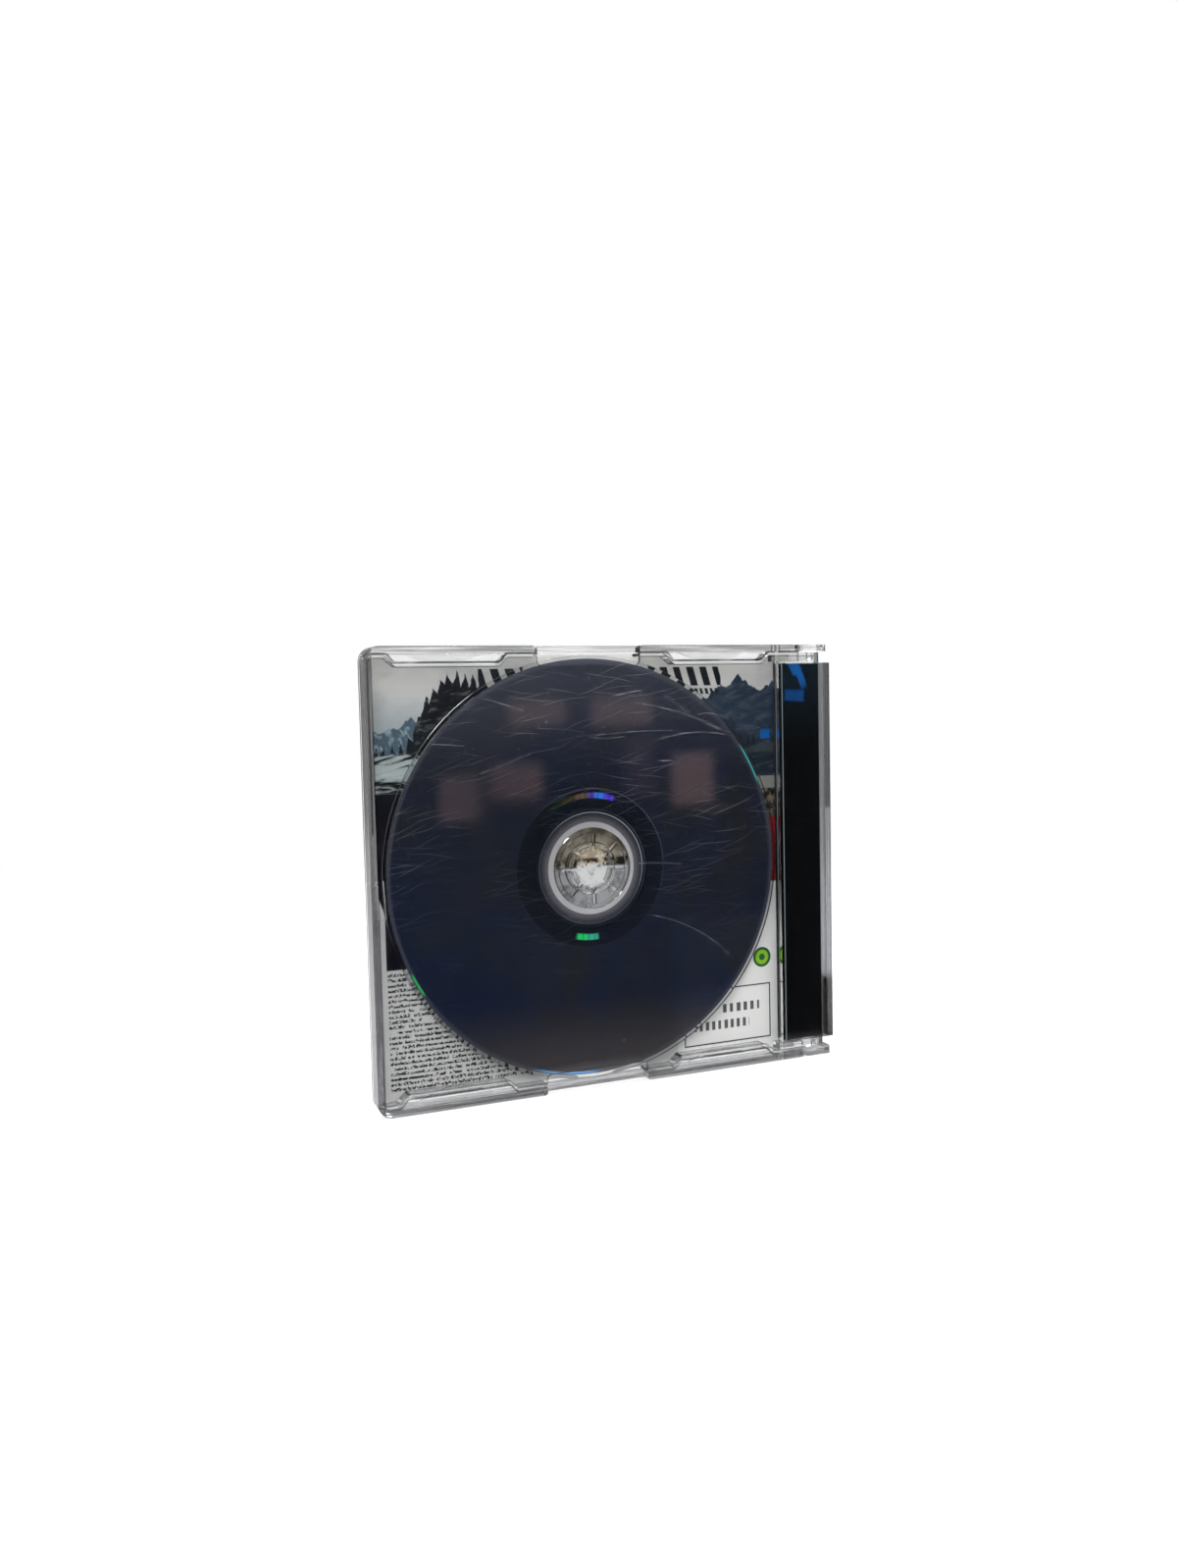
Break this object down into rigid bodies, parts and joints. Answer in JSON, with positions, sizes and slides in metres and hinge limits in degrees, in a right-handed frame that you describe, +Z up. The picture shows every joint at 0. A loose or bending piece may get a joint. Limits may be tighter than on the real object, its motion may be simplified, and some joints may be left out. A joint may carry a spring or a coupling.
{
  "type": "game disc case",
  "caption": "Slim clear case for a game disc: hinged lid with a folded card, and a back tray whose snap hub holds the disc.",
  "frame": {"origin": "middle of the bottom edge, where the closed case stands", "axes": "+X from the opening edge to the hinge, +Y from the back tray to the front lid, +Z up"},
  "size_m": [0.142, 0.007, 0.125],
  "materials": {
    "clear_tray": "clear, polished, lightly rubbed",
    "clear_lid": "clear, polished, lightly rubbed",
    "disc": "dark metallised data side, clear rim, finely scratched",
    "card": "printed coated card"
  },
  "bodies": {
    "tray": {"back_tray": "clear_tray"},
    "lid": {"front_lid": "clear_lid", "inlay_card": "card"},
    "disc": {"game_disc": "disc"}
  },
  "joints": [
    {"name": "lid_hinge", "type": "hinge", "parent": "tray", "child": "lid", "pos_m": [0.0658, 0, 0], "axis": [0, 0, -1], "range_deg": [0, 180]},
    {"name": "disc_spin", "type": "hinge", "parent": "tray", "child": "disc", "pos_m": [-0.0075, 0, 0.0625], "axis": [0, 1, 0], "continuous": true}
  ]
}
